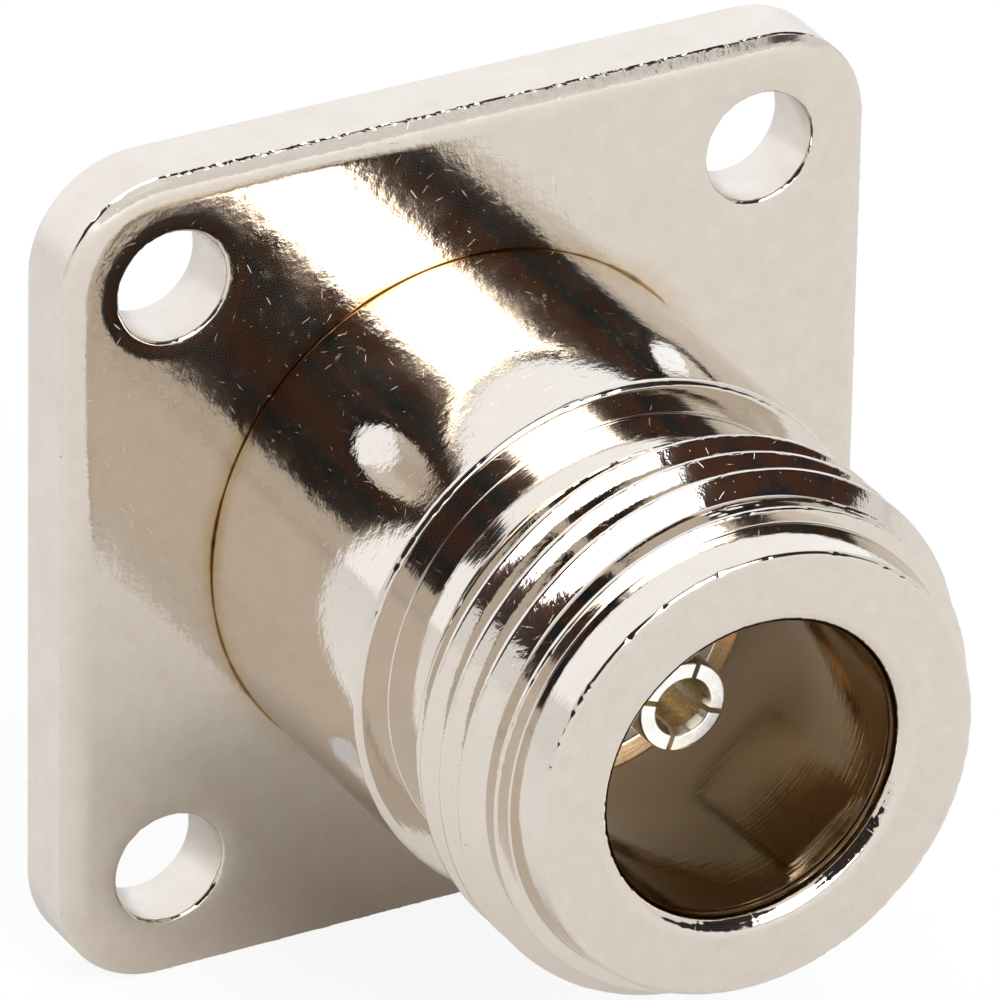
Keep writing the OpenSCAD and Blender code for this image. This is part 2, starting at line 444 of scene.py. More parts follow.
def turned_body(polished, faced, reamed, turned):
    """Barrel, relief groove, thread, pilot and stepped bore with the rear boss, in one turned piece."""
    angles = np.linspace(0, TURN, BODY_COLUMNS + 1)
    rings = [FRONT_FACE - MOUTH_LIP - depth for depth in RING_DEPTHS]
    ring_start, first_ring, valley, second_ring, ring_end = rings
    front_edge_r = PILOT_R - PILOT_TAPER
    behind_thread = [
        Corner(LIP_R, BOSS_END, BOSS_LIP_EDGE, 0, FACED),
        Corner(BOSS_R - BOSS_CHAMFER, BOSS_END, EDGE_BREAK, EDGE_NICK, FACED),
        Corner(BOSS_R, BOSS_END + BOSS_CHAMFER, EDGE_BREAK, EDGE_NICK, POLISHED),
        Corner(BOSS_R, 0, 0, 0, POLISHED),
        Corner(SEAT_R, 0, 0, 0, POLISHED),
        Corner(SEAT_R, FLANGE_T, 0, 0, POLISHED),
        Corner(BARREL_R, FLANGE_T, EDGE_BREAK, EDGE_NICK, POLISHED),
        Corner(BARREL_R, BARREL_END, BARREL_EDGE, BARREL_NICK, TURNED),
        Corner(RELIEF_R, BARREL_END, EDGE_BREAK, 0, TURNED),
        Corner(RELIEF_R, THREAD_START, 0, 0, POLISHED),
    ]
    before_thread = [
        Corner(ROOT_R, LAND_START, 0, 0, TURNED),
        Corner(ROOT_R + LAND_FLARE, LAND_END, LAND_EDGE, LAND_NICK, TURNED),
        Corner(PILOT_R, LAND_END, LAND_EDGE, 0, TURNED),
        Corner(front_edge_r, FRONT_FACE, FRONT_EDGE, FRONT_NICK, TURNED),
        Corner(front_edge_r - FRONT_EDGE_WIDTH, FRONT_FACE, 0, 0, FACED),
        Corner(MOUTH_R, FRONT_FACE, MOUTH_LIP, LIP_NICK, POLISHED),
        Corner(MOUTH_R, ring_start, 0, 0, REAMED),
        Corner(MOUTH_R + RING_HEIGHT, first_ring, RING_ROUND, 0, REAMED),
        Corner(MOUTH_R, valley, RING_ROUND, 0, REAMED),
        Corner(MOUTH_R + RING_HEIGHT, second_ring, RING_ROUND, 0, REAMED),
        Corner(MOUTH_R, ring_end, 0, 0, REAMED),
        Corner(MOUTH_R, RIB_FRONT, 0, 0, FACED),
        Corner(RIB_R, RIB_FRONT, RIB_EDGE, 0, FACED),
        Corner(RIB_R, RIB_REAR, 0, 0, REAMED),
        Corner(CAVITY_R, RIB_REAR, 0, 0, REAMED),
        Corner(CAVITY_R, BOSS_END + LIP_T, 0, 0, REAMED),
        Corner(LIP_R, BOSS_END + LIP_T, 0, 0, REAMED),
    ]
    radius, station, finish = plain_rows(behind_thread + before_thread, angles, seed=3)
    split = int(np.argmax(station[:, 0] >= LAND_START))
    thread, land = thread_rows(angles), burred_land_rows(angles)
    helix_radius, helix_station = (np.vstack(rows) for rows in zip(thread, land))
    helix_finish = np.where(helix_station[:, 0] < LEAD_START + CREST_LEAD, POLISHED, TURNED)
    radius = np.vstack([radius[:split], helix_radius, radius[split + 1:]])
    station = np.vstack([station[:split], helix_station, station[split + 1:]])
    finish = np.concatenate([finish[:split], helix_finish, finish[split + 1:]])
    return turned_object("turned_body", radius, station, finish, [polished, faced, reamed, turned], angles)


# Flange

def rounded_square(inset, height):
    """Loop round the plate, moved in from its outline, at a height above the rear face."""
    half = FLANGE_HALF - inset
    corner_r = FLANGE_CORNER_R - inset
    centre = FLANGE_HALF - FLANGE_CORNER_R
    side = np.linspace(-1, 1, SIDE_POINTS, endpoint=False) * centre
    arc = np.linspace(0, TURN / 4, CORNER_POINTS, endpoint=False)
    one_side = np.stack([np.full_like(side, half), side], axis=1)
    one_corner = centre + corner_r * np.stack([np.cos(arc), np.sin(arc)], axis=1)
    quarter = np.vstack([one_side, one_corner])
    loop = []
    for k in range(4):
        c, s = round(math.cos(k * TURN / 4)), round(math.sin(k * TURN / 4))
        loop.append(quarter @ np.array([[c, s], [-s, c]]))
    plan = np.vstack(loop)
    return np.column_stack([plan[:, 0], np.full(len(plan), -height), plan[:, 1]])


def round_loop(centre, radius, height, count=HOLE_POINTS):
    """Circle round a place on the plate, at a height above the rear face."""
    angle = np.linspace(0, TURN, count, endpoint=False)
    return np.column_stack([
        centre[0] + radius * np.cos(angle),
        np.full(count, -height),
        centre[1] + radius * np.sin(angle),
    ])


def plate_edge():
    """Loops up the plate's side, rear to front, with its worn edge and soft bevel, and their finishes."""
    section = fillet([
        Corner(FLANGE_HALF - FACE_INSET, 0, 0, 0, FACE),
        Corner(FLANGE_HALF, 0, REAR_EDGE, 0, EDGE),
        Corner(FLANGE_HALF, FLANGE_T - BEVEL_DEPTH, WORN_EDGE, EDGE_WEAR, BEVEL),
        Corner(FLANGE_HALF - BEVEL_WIDTH, FLANGE_T, BEVEL_ROUND, 0, FACE),
        Corner(FLANGE_HALF - FACE_INSET, FLANGE_T, 0, 0, FACE),
    ])
    outline = [rounded_square(FLANGE_HALF - reach, height) for reach, height, *_ in section]
    around = np.linspace(0, TURN, len(outline[0]), endpoint=False)
    worn = dents(around, 11, EDGE_DENTS, EDGE_DENT_DEGREES)
    for loop, (_, _, nick, *_) in zip(outline, section):
        loop *= 1 - (nick * worn / FLANGE_HALF)[:, None]
    return outline, [finish for *_, finish, _ in section]


def screw_hole(centre, seed):
    """Loops through a screw hole, rear to front, and their finishes.

    They make the rear rim, the wall, the nicked front rim and the dish that the punch left.
    """
    rim_foot = FLANGE_T - HOLE_DISH - HOLE_RIM
    rim_angles = np.linspace(0, TURN, HOLE_POINTS, endpoint=False)
    nicked = HOLE_WEAR * dents(rim_angles, seed, HOLE_DENTS, HOLE_DENT_DEGREES)
    loops = [round_loop(centre, HOLE_R + out, height) for out, height in HOLE_REAR_RIM]
    loops.append(round_loop(centre, HOLE_R, rim_foot - HOLE_RIM_FOOT))
    for degrees in range(0, 91, 18):
        a = math.radians(degrees)
        out = HOLE_R + HOLE_RIM * (1 - math.cos(a)) + nicked * math.sin(2 * a)
        loops.append(round_loop(centre, out, rim_foot + HOLE_RIM * math.sin(a)))
    for part in np.linspace(0.15, 1.0, 8):
        sunk = HOLE_DISH * (1 - math.sin(part * math.pi / 2))
        loops.append(round_loop(centre, HOLE_R + HOLE_RIM + part * DISH_WIDTH, FLANGE_T - sunk))
    loops.append(round_loop(centre, HOLE_R + HOLE_RIM + DISH_WIDTH + DISH_MARGIN, FLANGE_T))
    return loops, [FACE] + [EDGE] * 3 + [FACE] * (len(loops) - 5)


def stamped_flange(face_finish, edge_finish, bevel_finish):
    """Blanked plate with a worn front edge, four screw holes dished by the punch and the seat's hole."""
    mesh = bmesh.new()
    front_rims, rear_rims = [], []

    def skin(loops, finishes):
        """Joins a stack of loops, rear to front, and keeps its end rims for the two flat faces."""
        rings = [[mesh.verts.new(p * MM) for p in loop] for loop in loops]
        for low, high, finish in zip(rings, rings[1:], finishes):
            for k in range(len(low)):
                after = (k + 1) % len(low)
                face = mesh.faces.new([low[k], low[after], high[after], high[k]])
                face.smooth = True
                face.material_index = finish
        rear_rims.append(rings[0])
        front_rims.append(rings[-1])

    skin(*plate_edge())
    for x in (-1, 1):
        for z in (-1, 1):
            skin(*screw_hole((x * HOLE_PITCH / 2, z * HOLE_PITCH / 2), 21 + 2 * x + z))
    seat_hole_r = SEAT_R + SEAT_CLEARANCE
    skin([round_loop((0, 0), seat_hole_r, height, SEAT_POINTS) for height in (0, FLANGE_T)], [EDGE])

    for rims, normal in ((rear_rims, (0, 1, 0)), (front_rims, (0, -1, 0))):
        edges = []
        for rim in rims:
            for k in range(len(rim)):
                edges.append(mesh.edges.get((rim[k], rim[(k + 1) % len(rim)])))
        filled = bmesh.ops.triangle_fill(mesh, use_beauty=True, edges=edges, normal=normal)
        for face in filled["geom"]:
            if isinstance(face, bmesh.types.BMFace):
                face.smooth = True
                face.material_index = FACE
    bmesh.ops.recalc_face_normals(mesh, faces=mesh.faces)
    return finished_object("stamped_flange", mesh, [face_finish, edge_finish, bevel_finish])


# Contact and insulators

def cutter(name, outline, reach):
    """Prism along X from an outline of (z, station) points, used to saw or file a turned piece."""
    mesh = bmesh.new()
    ends = [[mesh.verts.new((x * MM, -s * MM, z * MM)) for z, s in outline] for x in (-reach, reach)]
    mesh.faces.new(ends[0])
    mesh.faces.new(ends[1])
    for k in range(len(outline)):
        after = (k + 1) % len(outline)
        mesh.faces.new([ends[0][k], ends[0][after], ends[1][after], ends[1][k]])
    bmesh.ops.recalc_face_normals(mesh, faces=mesh.faces)
    return finished_object(name, mesh, [])


def cut_away(piece, cuts):
    """Takes the cutters out of a piece, and the cutters out of the scene."""
    for cut in cuts:
        step = piece.modifiers.new("cut", "BOOLEAN")
        step.operation = "DIFFERENCE"
        step.solver = "EXACT"
        step.object = cut
    cut_mesh = bpy.data.meshes.new_from_object(piece.evaluated_get(bpy.context.evaluated_depsgraph_get()))
    piece.modifiers.clear()
    # The cuts leave slivers without area, which are merged away
    mesh = bmesh.new()
    mesh.from_mesh(cut_mesh)
    bmesh.ops.remove_doubles(mesh, verts=mesh.verts, dist=1e-4 * MM)
    bmesh.ops.dissolve_degenerate(mesh, edges=mesh.edges, dist=1e-4 * MM)
    mesh.to_mesh(cut_mesh)
    mesh.free()
    piece.data = cut_mesh
    cut_mesh.set_sharp_from_angle(angle=SHARP_ANGLE)
    for cut in cuts:
        bpy.data.objects.remove(cut)


def socket_contact(silver, socket_silver):
    """Turned contact: slotted socket in front, collar, and tail with an open solder cup."""
    slot_root = TIP - SLOT_LENGTH
    pin_floor = TIP - PIN_HOLE_DEPTH
    cup_floor = TAIL_END + CUP_DEPTH
    collar_rear = COLLAR_FRONT - COLLAR_T
    piece = turned_plain("socket_contact", [
        Corner(0, cup_floor + CUP_R * DRILL_TIP),
        Corner(CUP_R, cup_floor),
        Corner(CUP_R, TAIL_END, CUP_EDGE),
        Corner(TAIL_R, TAIL_END, TAIL_EDGE),
        Corner(TAIL_R, collar_rear),
        Corner(COLLAR_R, collar_rear, COLLAR_EDGE),
        Corner(COLLAR_R, COLLAR_FRONT, COLLAR_EDGE),
        Corner(SOCKET_R, COLLAR_FRONT),
        Corner(SOCKET_R, slot_root),
        Corner(TIP_R, TIP, TIP_EDGE),
        Corner(PIN_HOLE_R + PIN_LEAD, TIP, BORE_EDGE, 0, SATIN),
        Corner(CLOSED_R, TIP - PIN_LEAD_DEPTH, BORE_EDGE, 0, RUBBED),
        Corner(CLOSED_R, TIP - 2 * PIN_LEAD_DEPTH, BORE_EDGE, 0, RUBBED),
        Corner(PIN_HOLE_R, slot_root, 0, 0, RUBBED),
        Corner(PIN_HOLE_R, pin_floor, 0, 0, RUBBED),
        Corner(0, pin_floor - PIN_HOLE_R * DRILL_TIP, 0, 0, RUBBED),
    ], [silver, socket_silver])
    past = 1.0
    slot = [
        (-SLOT_ROOT_W / 2, slot_root),
        (SLOT_ROOT_W / 2, slot_root),
        (SLOT_TIP_W / 2, TIP),
        (SLOT_TIP_W / 2, TIP + past),
        (-SLOT_TIP_W / 2, TIP + past),
        (-SLOT_TIP_W / 2, TIP),
    ]
    scallop = [
        (0, TAIL_END - past),
        (0, TAIL_END + SCALLOP_LENGTH),
        (TAIL_R + past, TAIL_END + SCALLOP_LENGTH),
        (TAIL_R + past, TAIL_END - past),
    ]
    cuts = [cutter("saw", slot, SOCKET_R + past) for _ in SLOT_ANGLES]
    for cut, angle in zip(cuts, SLOT_ANGLES):
        cut.rotation_euler.y = -math.radians(angle)
    cuts.append(cutter("file", scallop, TAIL_R + past))
    cut_away(piece, cuts)
    return piece


def front_disc(fluoropolymer):
    """Disc between the bore's rib and the contact's collar."""
    bore_r = SOCKET_R + DISC_BORE
    return turned_plain("front_disc", [
        Corner(bore_r, COLLAR_FRONT, BORE_EDGE),
        Corner(DISC_R, COLLAR_FRONT, DISC_EDGE),
        Corner(DISC_R, RIB_REAR, DISC_EDGE),
        Corner(bore_r, RIB_REAR, DISC_BORE_EDGE),
    ], [fluoropolymer])


def rear_disc(fluoropolymer):
    """Disc with a pocket for the contact's collar and a nose that stands out of the boss."""
    bore_r = TAIL_R + DISC_BORE
    pocket_r = COLLAR_R + DISC_BORE
    pocket_floor = COLLAR_FRONT - COLLAR_T
    lip_front = BOSS_END + LIP_T
    return turned_plain("rear_disc", [
        Corner(bore_r, NOSE_END, DISC_BORE_EDGE),
        Corner(NOSE_R, NOSE_END, NOSE_EDGE),
        Corner(NOSE_R, lip_front),
        Corner(DISC_R, lip_front, SHOULDER_EDGE),
        Corner(DISC_R, COLLAR_FRONT, DISC_EDGE),
        Corner(pocket_r, COLLAR_FRONT, BORE_EDGE),
        Corner(pocket_r, pocket_floor),
        Corner(bore_r, pocket_floor, BORE_EDGE),
    ], [fluoropolymer])


# Materials

NICKEL = "#D4C9BB"
THIN_NICKEL = "#A79174"
# Colour of the darker clouds: on the nickel it is tarnish and also painted shade of the grain's
# micro-shadows, on the silver it is tarnish only
TARNISH_AND_SHADE = "#BAA787"
PIT_BROWN = "#6E5C48"
SEAM_GOLD = "#8A6420"
SEAM_VIOLET = "#3A3350"
SEAM_HALO = "#B7975A"
SILVER = "#FBF7EC"
RUBBED_SILVER = "#F7EBD0"
WHITE_WAX = "#FBFAF7"
PALE_WAX = "#F3F1EB"

# Sizes of the patterns in the plate and the plastic, in millimetres
GRAIN = 0.3
PEEL = 0.7
HAZE = 1.8
# TARNISH_AND_SHADE_PATCH below is the size of the nickel's darker clouds, which are tarnish and painted
# shade of the grain
TARNISH_AND_SHADE_PATCH = 0.6
FEED_MARK = 0.12
FEED_RUN = 14.0
SCRATCH_SPACING = 0.5
SCRATCH_HALF_LENGTH = 0.2
SCRATCH_HALF_WIDTH = 0.008
PIT_R = 0.03
PORE_R = 0.025
SILVER_GRAIN = 0.1
SILVER_CLOUD = 0.5
WAX_CLOUD = 0.9

# Height of the tool's rings in the plastic, in micrometres
WAX_RING_UM = 6

# Radians that spread a cell's chance over many turns, so that each scratch leans its own way
LEAN_SPREAD = 40.0

# Share of cells without a scratch, share with a brown pore, and a pit's depth in depths of a scratch
UNSCRATCHED = 0.65
PORES = 0.007
PIT_DEPTH = 2.5

# Stains along the seam: how far haze moves the border, where it is full, where it ends, and its strength
SEAM_LINE = (0.2, -0.08, -0.02, 0.85)
SEAM_GLOW = (0.9, -0.5, 0.15, 0.4)

# Axes in which the scratches of the flange's face and of its sides are laid out
FACE_AXES = ((1, 0, 0), (0, 0, 1))
SIDE_AXES = ((1, 0, 1), (0, 1, 0))


def linear(hex_colour):
    """Linear RGBA of an sRGB hex colour."""
    values = [int(hex_colour[i:i + 2], 16) / 255 for i in (1, 3, 5)]
    return [v / 12.92 if v <= 0.04045 else ((v + 0.055) / 1.055) ** 2.4 for v in values] + [1.0]


def add(tree, kind, inputs=None, **settings):
    """Adds a shader node with its settings, and fills its inputs with values or other nodes' outputs."""
    node = tree.nodes.new("ShaderNode" + kind)
    for name, value in settings.items():
        setattr(node, name, value)
    for name, value in (inputs or {}).items():
        if isinstance(value, bpy.types.NodeSocket):
            tree.links.new(value, node.inputs[name])
        else:
            node.inputs[name].default_value = value
    return node


def new_material(name, **principled):
    """Material with a Principled surface whose constant values are set on its own sockets."""
    material = bpy.data.materials.new(name)
    material.use_nodes = True
    shader = material.node_tree.nodes["Principled BSDF"]
    for socket, value in principled.items():
        shader.inputs[socket.replace("_", " ")].default_value = value
    return material, material.node_tree, shader


def millimetres(tree):
    """Place on the object in millimetres."""
    place = add(tree, "TexCoord").outputs["Object"]
    return add(tree, "VectorMath", {0: place, 1: (1 / MM, 1 / MM, 1 / MM)}, operation="MULTIPLY").outputs[0]


def from_axis(tree, solid):
    """Distance from the jack's axis in millimetres."""
    across = add(tree, "VectorMath", {0: solid, 1: (1, 0, 1)}, operation="MULTIPLY").outputs[0]
    return add(tree, "VectorMath", {0: across}, operation="LENGTH").outputs["Value"]


def from_seam(tree, solid):
    """Distance in millimetres from the seam between barrel and flange."""
    across = add(tree, "Math", {0: from_axis(tree, solid), 1: BARREL_R}, operation="SUBTRACT").outputs[0]
    along = add(tree, "SeparateXYZ", {0: solid}).outputs["Y"]
    along = add(tree, "Math", {0: along, 1: FLANGE_T}, operation="ADD").outputs[0]
    away = add(tree, "CombineXYZ", {0: across, 1: along}).outputs[0]
    return add(tree, "VectorMath", {0: away}, operation="LENGTH").outputs["Value"]


def seam_stain(tree, haze, away, wander, full, end, strength):
    """Mask of a stain along the seam, whose border wanders with the haze."""
    border = add(tree, "Math", {0: haze, 1: -wander, 2: away}, operation="MULTIPLY_ADD").outputs[0]
    return add(tree, "MapRange", {0: border, 1: full, 2: end, 3: strength, 4: 0.0}).outputs[0]


def scratches(tree, surface):
    """Mask of single straight scratches, one at a random lean in about a third of the pattern's cells.

    With it come the distance from the middle of the cell and the cell's own chance.
    """
    pattern = {"Vector": surface, "Scale": 1 / SCRATCH_SPACING}
    cell = add(tree, "TexVoronoi", pattern, voronoi_dimensions="2D")
    middle = cell.outputs["Position"]
    chance = add(tree, "TexWhiteNoise", {"Vector": middle}, noise_dimensions="2D").outputs["Value"]
    lean = add(tree, "Math", {0: chance, 1: LEAN_SPREAD}, operation="MULTIPLY").outputs[0]
    away = add(tree, "VectorMath", {0: surface, 1: middle}, operation="SUBTRACT").outputs[0]
    away = add(tree, "VectorRotate", {"Vector": away, "Angle": lean}, rotation_type="Z_AXIS").outputs[0]
    away = add(tree, "VectorMath", {0: away}, operation="ABSOLUTE").outputs[0]
    away = add(tree, "SeparateXYZ", {0: away}).outputs
    width = add(tree, "MapRange", {0: away["Y"], 1: 0.0, 2: SCRATCH_HALF_WIDTH, 3: 1.0, 4: 0.0}).outputs[0]
    fade = (0.4 * SCRATCH_HALF_LENGTH, SCRATCH_HALF_LENGTH)
    length = add(tree, "MapRange", {0: away["X"], 1: fade[0], 2: fade[1], 3: 1.0, 4: 0.0}).outputs[0]
    drawn = add(tree, "MapRange", {0: chance, 1: UNSCRATCHED, 2: 1.0, 3: 0.0, 4: 1.0}).outputs[0]
    mask = add(tree, "Math", {0: width, 1: length}, operation="MULTIPLY").outputs[0]
    mask = add(tree, "Math", {0: mask, 1: drawn}, operation="MULTIPLY").outputs[0]
    return mask, cell.outputs["Distance"], chance


def plated(name, colour, roughness, grain_um, peel_um, scratch_um, turned_um=0.0, axes=None, tarnish_and_shade_share=0.15):
    """Bright nickel plate: a warm mirror whose grain, scratches and turning marks fray what it reflects.

    The heights are in micrometres. Grain and turning marks are really finer than a pixel, so they are
    drawn as coarse as the picture needs to show them. The scratches lie in the plane of the two axes,
    or along the turned surface where none are given, and each of their cells has a small pit.
    """
    material, tree, shader = new_material(name, Metallic=1.0)
    solid = millimetres(tree)
    if axes:
        plan = {}
        for k, axis in enumerate(axes):
            plan[k] = add(tree, "VectorMath", {0: solid, 1: axis}, operation="DOT_PRODUCT").outputs["Value"]
        surface = add(tree, "CombineXYZ", plan).outputs[0]
    else:
        surface = add(tree, "UVMap", uv_map="turned").outputs[0]

    # Relief of the plate
    grain = {"Vector": solid, "Scale": 1 / GRAIN, "Detail": 3.0, "Roughness": 0.6}
    grain = add(tree, "TexNoise", grain).outputs[0]
    peel = add(tree, "TexNoise", {"Vector": solid, "Scale": 1 / PEEL, "Detail": 1.0}).outputs[0]
    height = add(tree, "Math", {0: grain, 1: grain_um}, operation="MULTIPLY").outputs[0]
    height = add(tree, "Math", {0: peel, 1: peel_um, 2: height}, operation="MULTIPLY_ADD").outputs[0]
    if turned_um:
        per_mark = (1 / FEED_RUN, 1 / FEED_MARK, 1.0)
        feed = add(tree, "Mapping", {"Vector": surface, "Scale": per_mark}).outputs[0]
        marks = add(tree, "TexNoise", {"Vector": feed, "Scale": 1.0, "Detail": 2.0}).outputs[0]
        height = add(tree, "Math", {0: marks, 1: turned_um, 2: height}, operation="MULTIPLY_ADD").outputs[0]
    scratch, middle, chance = scratches(tree, surface)
    height = add(tree, "Math", {0: scratch, 1: -scratch_um, 2: height}, operation="MULTIPLY_ADD").outputs[0]
    pit = add(tree, "MapRange", {0: middle, 1: 0.0, 2: PIT_R, 3: -PIT_DEPTH * scratch_um, 4: 0.0}).outputs[0]
    height = add(tree, "Math", {0: pit, 1: chance, 2: height}, operation="MULTIPLY_ADD").outputs[0]
    bump = add(tree, "Bump", {"Height": height, "Distance": MICRON, "Strength": 1.0})
    tree.links.new(bump.outputs[0], shader.inputs["Normal"])
    haze = add(tree, "TexNoise", {"Vector": solid, "Scale": 1 / HAZE, "Detail": 3.0}).outputs[0]
    clear, dim = 0.7 * roughness, 1.4 * roughness
    dull = add(tree, "MapRange", {0: haze, 1: 0.3, 2: 0.7, 3: clear, 4: dim}).outputs[0]
    tree.links.new(dull, shader.inputs["Roughness"])

    # Thin places in the plate are tarnished, and the same darker clouds are also painted shade that stands
    # for the grain's micro-shadows; a few pores have gone brown
    tarnish_and_shade_pattern = {"Vector": solid, "Scale": 1 / TARNISH_AND_SHADE_PATCH, "Detail": 4.0, "Roughness": 0.7}
    tarnish_and_shade_pattern = add(tree, "TexNoise", tarnish_and_shade_pattern).outputs[0]
    cloud = add(tree, "MapRange", {0: tarnish_and_shade_pattern, 1: 0.3, 2: 0.75, 3: 0.0, 4: tarnish_and_shade_share}).outputs[0]
    plate = add(tree, "MixRGB", {0: cloud, 1: linear(colour), 2: linear(TARNISH_AND_SHADE)}).outputs[0]
    pore = add(tree, "MapRange", {0: middle, 1: 0.4 * PORE_R, 2: PORE_R, 3: 0.6, 4: 0.0}).outputs[0]
    rare = add(tree, "Math", {0: chance, 1: PORES}, operation="LESS_THAN").outputs[0]
    pore = add(tree, "Math", {0: pore, 1: rare}, operation="MULTIPLY").outputs[0]
    plate = add(tree, "MixRGB", {0: pore, 1: plate, 2: linear(PIT_BROWN)}).outputs[0]

    # Water left in the seam between barrel and flange has stained the plate on both sides of it
    away = from_seam(tree, solid)
    halo = seam_stain(tree, haze, away, *SEAM_GLOW)
    plate = add(tree, "MixRGB", {0: halo, 1: plate, 2: linear(SEAM_HALO)}).outputs[0]
    stain = seam_stain(tree, haze, away, *SEAM_LINE)
    hue = add(tree, "MapRange", {0: haze, 1: 0.6, 2: 0.66, 3: 0.0, 4: 1.0}).outputs[0]
    hue = add(tree, "MixRGB", {0: hue, 1: linear(SEAM_GOLD), 2: linear(SEAM_VIOLET)}).outputs[0]
    plate = add(tree, "MixRGB", {0: stain, 1: plate, 2: hue}).outputs[0]
    tree.links.new(plate, shader.inputs["Base Color"])
    return material


def silver_plate(name, colour, roughness):
    """Silver plate: a pale satin outside, warmer and duller in the socket, where pins have rubbed it."""
    material, tree, shader = new_material(name, Metallic=1.0)
    solid = millimetres(tree)
    grain = add(tree, "TexNoise", {"Vector": solid, "Scale": 1 / SILVER_GRAIN, "Detail": 3.0}).outputs[0]
    cloud = add(tree, "TexNoise", {"Vector": solid, "Scale": 1 / SILVER_CLOUD, "Detail": 2.0}).outputs[0]
    cloud = add(tree, "MapRange", {0: cloud, 1: 0.45, 2: 0.7, 3: 0.0, 4: 0.15}).outputs[0]
    plate = add(tree, "MixRGB", {0: cloud, 1: linear(colour), 2: linear(TARNISH_AND_SHADE)}).outputs[0]
    tree.links.new(plate, shader.inputs["Base Color"])
    clear, dim = 0.75 * roughness, 1.3 * roughness
    rub = add(tree, "MapRange", {0: grain, 1: 0.3, 2: 0.7, 3: clear, 4: dim}).outputs[0]
    tree.links.new(rub, shader.inputs["Roughness"])
    bump = add(tree, "Bump", {"Height": grain, "Distance": MICRON, "Strength": 1.0})
    tree.links.new(bump.outputs[0], shader.inputs["Normal"])
    return material


def turned_fluoropolymer():
    """Turned fluoropolymer: waxy white that light enters a little way, with faint rings from the tool."""
    material, tree, shader = new_material(
        "fluoropolymer_turned", IOR=1.35, Subsurface_Weight=0.3, Subsurface_Scale=0.3 * MM)
    solid = millimetres(tree)
    rings = {"W": from_axis(tree, solid), "Scale": 1 / FEED_MARK, "Detail": 2.0}
    rings = add(tree, "TexNoise", rings, noise_dimensions="1D").outputs[0]
    cloud = add(tree, "TexNoise", {"Vector": solid, "Scale": 1 / WAX_CLOUD, "Detail": 3.0}).outputs[0]
    body = add(tree, "MixRGB", {0: cloud, 1: linear(WHITE_WAX), 2: linear(PALE_WAX)}).outputs[0]
    tree.links.new(body, shader.inputs["Base Color"])
    wax = add(tree, "MapRange", {0: cloud, 1: 0.3, 2: 0.7, 3: 0.38, 4: 0.55}).outputs[0]
    tree.links.new(wax, shader.inputs["Roughness"])
    bump = add(tree, "Bump", {"Height": rings, "Distance": WAX_RING_UM * MICRON, "Strength": 1.0})
    tree.links.new(bump.outputs[0], shader.inputs["Normal"])
    return material


# Studio

CAMERA_AIM = (1.107, -FLANGE_T, 0.0)
CAMERA_DISTANCE = 392.9
CAMERA_AZIMUTH = -29.106
CAMERA_ELEVATION = 28.953
CAMERA_ROLL = 1.109
CAMERA_LENS = 509.9
SENSOR = 36.0

# Light that the white room gives matt surfaces, from its horizon to its zenith
ROOM_COLOUR = (1.0, 1.04, 1.11, 1.0)
HORIZON_LIGHT = 0.1
ZENITH_LIGHT = 1.25

# Paper floor: its radius in metres, and how much of it glows white to the camera and in the metal
FLOOR_R = 4.0
FLOOR_SEEN = 0.9
FLOOR_MIRRORED = 0.03
PAPER = "#F7F6F4"

# Dark cards, by azimuth, elevation, distance, width and height, in degrees and metres
DARK_CARDS = {
    "dark_left": (-38.5, 27.7, 0.80, 0.73, 0.60),
    "dark_right": (45.5, 20, 0.80, 0.52, 0.47),
    "dark_left_high": (-66, 44, 0.80, 0.56, 0.71),
    "dark_right_high": (58, 52, 0.80, 0.5, 0.5),
    "dark_overhead": (-162, 82.5, 1.0, 0.6, 0.25),
}

# Velvet on the cards: its two colours, and the size of the patches in its nap, in metres
VELVET_BLUE = "#1C323C"
VELVET_BROWN = "#573A2C"
VELVET_NAP = 0.13

# Softboxes, by azimuth, elevation, distance, width, height, brightness and colour. A mirror shows a
# brightness of 1 as white
SOFTBOXES = {
    "key_softbox": (4.5, 41, 1.05, 0.79, 1.16, 4.5, (0.95, 0.98, 1.07)),
    "back_softbox": (180, 36, 1.3, 3.6, 2.2, 0.4, (0.86, 0.97, 1.18)),
}


def direction(azimuth, elevation):
    """Unit vector from the object; azimuth 0 is straight in front of the mouth and 90 is +X."""
    a, e = math.radians(azimuth), math.radians(elevation)
    return Vector((math.sin(a) * math.cos(e), -math.cos(a) * math.cos(e), math.sin(e)))


def face_the_jack(thing, azimuth, elevation, distance):
    """Places a card or lamp in metres from the object and turns it to the object."""
    out = direction(azimuth, elevation)
    thing.location = out * distance
    thing.rotation_euler = out.to_track_quat("Z", "Y").to_euler()
    thing.visible_camera = False


def studio_camera():
    """Camera at the photograph's angle, a long way off."""
    data = bpy.data.cameras.new("camera")
    data.lens = CAMERA_LENS
    data.sensor_width = SENSOR
    data.clip_start, data.clip_end = 0.01, 10.0
    camera = bpy.data.objects.new("camera", data)
    scene.collection.objects.link(camera)
    back = direction(CAMERA_AZIMUTH, CAMERA_ELEVATION)
    camera.location = (Vector(CAMERA_AIM) + back * CAMERA_DISTANCE) * MM
    level = (-back).to_track_quat("-Z", "Y").to_matrix()
    camera.rotation_euler = (level @ Matrix.Rotation(math.radians(CAMERA_ROLL), 3, "Z")).to_euler()
    scene.camera = camera


